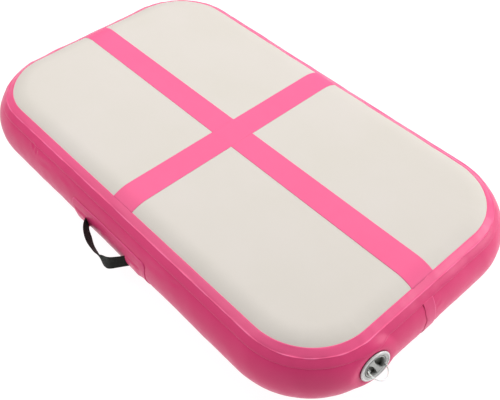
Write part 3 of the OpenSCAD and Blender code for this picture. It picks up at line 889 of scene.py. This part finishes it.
def valve_spring():
    """Coil between the stem's guide and its button, with closer turns at each end."""
    wire, turns = 0.35, 4
    s = np.linspace(0, 1, 24 * turns + 1)
    low, high = GUIDE_TOP + wire, GUIDE_TOP + SPRING_L - wire
    a = math.tau * turns * s
    rise = 0.35 * smoothstep(0.0, 1.0, s) + 0.65 * s
    path = valve_points(SPRING_R * np.cos(a), SPRING_R * np.sin(a), low + (high - low) * rise)
    obj = swept("valve_spring_coil", path, wire * MM, VALVE_OUT, 10)
    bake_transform(obj)
    return obj


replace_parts(valve_body(), "valve_body")
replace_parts(valve_cap(), "valve_cap")
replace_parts(cap_bail(), "cap_bail")
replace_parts(valve_spring(), "valve_spring")


# ---- materials ----

def rgba(sockets):
    return [s for s in sockets if s.type == "RGBA"]


class Shader:
    """A Principled material, with short helpers for the nodes that vary it."""

    def __init__(self, name, color, roughness, **settings):
        self.material = bpy.data.materials.new(name)
        self.material.use_nodes = True
        self.tree = self.material.node_tree
        self.bsdf = self.tree.nodes["Principled BSDF"]
        self.bsdf.inputs["Base Color"].default_value = (*color, 1)
        self.bsdf.inputs["Roughness"].default_value = roughness
        for key, value in settings.items():
            self.bsdf.inputs[key.replace("_", " ")].default_value = value
        self.place = self.node("ShaderNodeTexCoord")
        self.height = None

    def node(self, kind, **settings):
        node = self.tree.nodes.new(kind)
        for key, value in settings.items():
            setattr(node, key, value)
        return node

    def link(self, a, b):
        self.tree.links.new(a, b)

    def math(self, operation, *values):
        node = self.node("ShaderNodeMath", operation=operation)
        for socket, value in zip(node.inputs, values):
            if hasattr(value, "is_linked"):
                self.link(value, socket)
            else:
                socket.default_value = value
        return node.outputs[0]

    def noise(self, scale, detail, stretch=None):
        """Noise of that many lumps to a metre."""
        where = self.place.outputs["Object"]
        if stretch:
            mapping = self.node("ShaderNodeMapping")
            mapping.inputs["Scale"].default_value = stretch
            self.link(where, mapping.inputs["Vector"])
            where = mapping.outputs[0]
        node = self.node("ShaderNodeTexNoise")
        node.inputs["Scale"].default_value = scale
        node.inputs["Detail"].default_value = detail
        node.inputs["Roughness"].default_value = 0.5
        self.link(where, node.inputs["Vector"])
        return node.outputs["Fac"]

    def stored(self, name):
        """A value that mark has stored on the mesh."""
        return self.node("ShaderNodeAttribute", attribute_name=name).outputs["Fac"]

    def axes(self, source="UV"):
        """A point's coordinates, one socket each."""
        split = self.node("ShaderNodeSeparateXYZ")
        self.link(self.place.outputs[source], split.inputs[0])
        return list(split.outputs)

    def wave(self, value, pitch):
        """Even ribs of that pitch, as a wave from 0 to 1."""
        turns = self.math("MULTIPLY", value, math.tau / pitch)
        return self.math("MULTIPLY_ADD", self.math("SINE", turns), 0.5, 0.5)

    def weave(self, pitch):
        """A plain weave: warp and weft that rise over each other in turn."""
        a, b = [self.math("SINE", self.math("MULTIPLY", axis, math.pi / pitch))
                for axis in self.axes()[:2]]
        return self.math("MULTIPLY_ADD", self.math("MULTIPLY", a, b), 0.5, 0.5)

    def ramp(self, factor, span=(0.3, 0.7), to=(0.0, 1.0)):
        """The factor, with one span stretched over another."""
        node = self.node("ShaderNodeMapRange")
        self.link(factor, node.inputs["Value"])
        for key, value in zip(("From Min", "From Max", "To Min", "To Max"), (*span, *to)):
            node.inputs[key].default_value = value
        return node.outputs[0]

    def tint(self, factor, low, high, *span):
        """Multiplies the colour by low to high, each a colour or a grey, over the factor's span."""
        mix = self.node("ShaderNodeMix", data_type="RGBA", blend_type="MULTIPLY")
        blend = self.node("ShaderNodeMix", data_type="RGBA")
        self.link(self.ramp(factor, *span), blend.inputs["Factor"])
        for socket, color in zip(rgba(blend.inputs), (low, high)):
            socket.default_value = (*np.broadcast_to(color, 3), 1)
        base = self.bsdf.inputs["Base Color"]
        before, times = rgba(mix.inputs)
        mix.inputs["Factor"].default_value = 1
        if base.is_linked:
            self.link(base.links[0].from_socket, before)
        else:
            before.default_value = base.default_value
        self.link(rgba(blend.outputs)[0], times)
        self.link(rgba(mix.outputs)[0], base)

    def rough(self, factor, low, high):
        """Lets the roughness vary from low to high."""
        self.link(self.ramp(factor, to=(low, high)), self.bsdf.inputs["Roughness"])

    def bump(self, factor, height):
        """Adds relief of that height in metres."""
        node = self.node("ShaderNodeBump")
        node.inputs["Strength"].default_value = 1.0
        node.inputs["Distance"].default_value = height
        self.link(factor, node.inputs["Height"])
        if self.height is not None:
            self.link(self.height, node.inputs["Normal"])
        self.height = node.outputs[0]
        self.link(self.height, self.bsdf.inputs["Normal"])


# what the painted highlight along a welded edge, and the painted shade of the tape below a seam and
# painted light above it, do to the colour, and how dark the painted shade in a hollow is
EDGE_HIGHLIGHT_TINT, TAPE_SIDE_SHADE, TAPE_TOP_LIGHT = (1.12, 1.9, 1.5), (0.98, 0.76, 0.90), (1.12, 1.34, 1.22)
RECESS_SHADE = (0.30, 0.30, 0.27)


def coated_fabric(name, color, low, high, roughness, cloth, height, specular, seam=False):
    """PVC-coated fabric, whose cloth shows faintly through the coating."""
    m = Shader(name, color, roughness, Specular_IOR_Level=specular)
    # painted highlight: paler along the edges marked for it
    m.tint(m.stored("painted_highlight"), 1, EDGE_HIGHLIGHT_TINT, (0.1, 1.0))
    # painted shade and painted light: the tape is darker below its seam and paler above it, where
    # it faces up to the light
    if seam:
        m.tint(m.math("MULTIPLY_ADD", m.axes()[1], 1 / (4 * MM), 0.5), TAPE_SIDE_SHADE, TAPE_TOP_LIGHT)
    m.tint(m.noise(7, 3), low, high)
    m.tint(m.noise(900, 2), 0.985, 1.015)
    m.rough(m.noise(60, 4), roughness - 0.05, roughness + 0.05)
    m.bump(m.weave(cloth), height)
    m.bump(m.noise(1400, 2), height * 0.8)
    m.bump(m.noise(45, 3), 0.00012)
    return m.material


def webbing_material():
    """Black webbing with a herringbone weave."""
    m = Shader("black webbing", (0.0080, 0.0083, 0.0070), 0.8, Sheen_Weight=0.05,
               Sheen_Roughness=0.4, Specular_IOR_Level=0.25)
    m.bsdf.inputs["Sheen Tint"].default_value = (0.75, 0.78, 0.72, 1)
    u, v = m.axes()[:2]
    # ribs that slant one way, then the other, across the webbing
    slant = m.math("MULTIPLY_ADD", m.math("PINGPONG", v, 3.1 * MM), 1.2, u)
    cloth = m.math("MULTIPLY_ADD", m.wave(v, 0.8 * MM), 0.35, m.wave(slant, 1.5 * MM))
    m.tint(m.math("MULTIPLY_ADD", cloth, 0.35, 0.25), 0.55, (1.6, 1.6, 1.55))
    m.tint(m.noise(90, 3), (0.8, 0.82, 0.8), (1.25, 1.22, 1.2))
    m.rough(m.noise(200, 3), 0.68, 0.88)
    m.bump(cloth, 0.00018)
    m.bump(m.noise(3500, 2), 0.00003)
    return m.material


def moulded_plastic(name, color, roughness, **settings):
    """Plastic whose deep parts are painted darker, as painted shade."""
    m = Shader(name, color, roughness, **settings)
    # painted shade: darker where the mesh is marked as deep
    m.tint(m.stored("painted_recess_shade"), 1, RECESS_SHADE, (0.1, 0.9))
    m.tint(m.noise(70, 4), (0.93, 0.93, 0.94), 1.05)
    m.rough(m.noise(220, 4), roughness - 0.07, roughness + 0.07)
    m.bump(m.noise(1800, 3), 0.00002)
    m.bump(m.noise(120, 2), 0.00004)
    return m.material


def rubber():
    m = Shader("black rubber", (0.018, 0.018, 0.019), 0.68)
    m.tint(m.noise(260, 4), 0.75, 1.3)
    m.rough(m.noise(400, 3), 0.6, 0.78)
    m.bump(m.noise(2400, 3), 0.00003)
    return m.material


def spring_wire():
    m = Shader("spring steel", (0.62, 0.62, 0.63), 0.26, Metallic=1.0)
    m.tint(m.noise(500, 3), 0.85, 1.08)
    m.rough(m.noise(900, 3, (1, 1, 8)), 0.2, 0.36)
    m.bump(m.noise(3000, 2, (1, 1, 10)), 0.000015)
    return m.material


def yarn_material():
    m = Shader("polyester yarn", (0.74, 0.72, 0.66), 0.75, Sheen_Weight=0.4)
    x, _, z = m.axes("Object")
    ply = m.math("SINE", m.math("MULTIPLY", m.math("ADD", z, x), 2500))
    m.tint(m.noise(40, 3), (0.92, 0.92, 0.9), (1.05, 1.05, 1.04))
    m.rough(m.noise(300, 2), 0.68, 0.82)
    m.bump(ply, 0.00008)
    return m.material


# colour, its two tints, roughness, the cloth's pitch and relief, and the coating's gloss
DARKER, PALER = (0.97, 0.94, 0.95), (1.03, 1.05, 1.05)
pink_pvc = coated_fabric("pink coated fabric", (0.72, 0.047, 0.176), (0.96, 0.93, 0.94), PALER,
                         0.36, 0.9 * MM, 0.00003, 0.22)
tape_pvc = coated_fabric("pink welded tape", (0.72, 0.078, 0.206), DARKER, PALER,
                         0.33, 0.9 * MM, 0.00002, 0.22, seam=True)
joint_pvc = coated_fabric("pink joint tape", (0.71, 0.062, 0.190), DARKER, PALER,
                          0.34, 0.9 * MM, 0.00002, 0.22)
cream_pvc = coated_fabric("cream coated fabric", (0.605, 0.566, 0.520), (0.985, 0.985, 0.97),
                          (1.01, 1.005, 1.01), 0.52, 1.1 * MM, 0.00004, 0.25)
stripe_pvc = coated_fabric("pink stripe", (0.82, 0.118, 0.270), (0.985, 0.97, 0.975),
                           (1.01, 1.02, 1.02), 0.50, 1.1 * MM, 0.00003, 0.2)
rubber_black = rubber()

LOOKS = (
    (cream_pvc, "top_panel_skin", "bottom_panel_skin"),
    (pink_pvc, "sidewall_skin", "sidewall_liner_skin", "right_handle_patch_skin",
     "left_handle_patch_skin", "valve_doubler"),
    (tape_pvc, "top_seam_tape_skin", "bottom_seam_tape_skin"),
    (joint_pvc, "sidewall_joint_skin"),
    (stripe_pvc, "lengthwise_stripe_skin", "crosswise_stripe_skin"),
    (webbing_material(), "right_handle_strap", "left_handle_strap"),
    (rubber_black, "valve_gasket", "valve_seal_disc", "cap_o_ring"),
    (moulded_plastic("silver-grey plastic", (0.70, 0.70, 0.69), 0.30, Metallic=0.15),
     "valve_body_moulding"),
    (moulded_plastic("grey cap plastic", (0.40, 0.41, 0.39), 0.36, Metallic=0.15),
     "valve_cap_moulding"),
    (moulded_plastic("grey plastic", (0.36, 0.37, 0.37), 0.45), "valve_back_nut"),
    (moulded_plastic("pale plastic", (0.60, 0.61, 0.60), 0.38), "valve_stem"),
    (moulded_plastic("white bail plastic", (0.93, 0.93, 0.91), 0.30, Subsurface_Weight=0.15),
     "cap_bail_wire"),
    (spring_wire(), "valve_spring_coil"),
    (yarn_material(), "drop_stitch_yarns"),
)
for material, *names in LOOKS:
    for name in names:
        obj = bpy.data.objects.get(name) or frame["nodes"][name]
        obj.data.materials.clear()
        obj.data.materials.append(material)


# ---- camera, floor and lights ----

LENS, SENSOR = 52.8, 36
FLOOR_SIZE, FLOOR_Z, FLOOR_GREY, FLOOR_GLOW = 12.0, -0.0006, 0.16, 0.93
WORLD_LIGHT = 0.22
# where each light is, what it faces, its size in metres and its power in watts
SOFTBOXES = {
    "overhead": ((-0.7, 0.65, 2.3), (0, 0, 0), 2.8, 64),
    "from the right": ((1.9, 2.0, 1.1), (0.3, 0, 0.05), 1.5, 48),
    "from the left": ((-1.1, -1.6, 2.1), (0, -0.1, 0.05), 1.5, 21),
}


def put(name, data, location, facing):
    """Adds a camera or a light, facing that way."""
    obj = bpy.data.objects.new(name, data)
    bpy.context.scene.collection.objects.link(obj)
    obj.location = location
    obj.rotation_mode = "QUATERNION"
    obj.rotation_quaternion = facing.to_track_quat("-Z", "Y")
    return obj


def look_from(azimuth, elevation, distance, target):
    a, e = math.radians(azimuth), math.radians(elevation)
    back = Vector((math.sin(a) * math.cos(e), -math.cos(a) * math.cos(e), math.sin(e)))
    data = bpy.data.cameras.new("camera")
    data.sensor_width = SENSOR
    data.lens = LENS
    bpy.context.scene.camera = put("camera", data, Vector(target) + back * distance, -back)


def softbox(name, location, target, size, power):
    data = bpy.data.lights.new(name, "AREA")
    data.shape = "RECTANGLE"
    data.size = data.size_y = size
    data.energy = power
    put(name, data, location, Vector(target) - Vector(location))


def floor(size):
    m = Shader("floor", (FLOOR_GREY,) * 3, 0.6, Specular_IOR_Level=0.2,
               Emission_Strength=FLOOR_GLOW)
    m.bsdf.inputs["Emission Color"].default_value = (1, 1, 1, 1)
    m.tint(m.noise(3, 2), 0.995, 1.0)
    corners = [(-size, -size), (size, -size), (size, size), (-size, size)]
    obj = make_object("floor", [(*corner, FLOOR_Z) for corner in corners], [(0, 1, 2, 3)])
    obj.data.materials.append(m.material)


look_from(47.36, 47.85, 1.493, (0.051, -0.001, 0.0))
floor(FLOOR_SIZE)
for name, settings in SOFTBOXES.items():
    softbox(name, *settings)
world = bpy.data.worlds.new("studio")
world.use_nodes = True
background = world.node_tree.nodes["Background"].inputs
background["Color"].default_value = (1, 1, 1, 1)
background["Strength"].default_value = WORLD_LIGHT
bpy.context.scene.world = world
bpy.context.scene.view_settings.view_transform = "Standard"
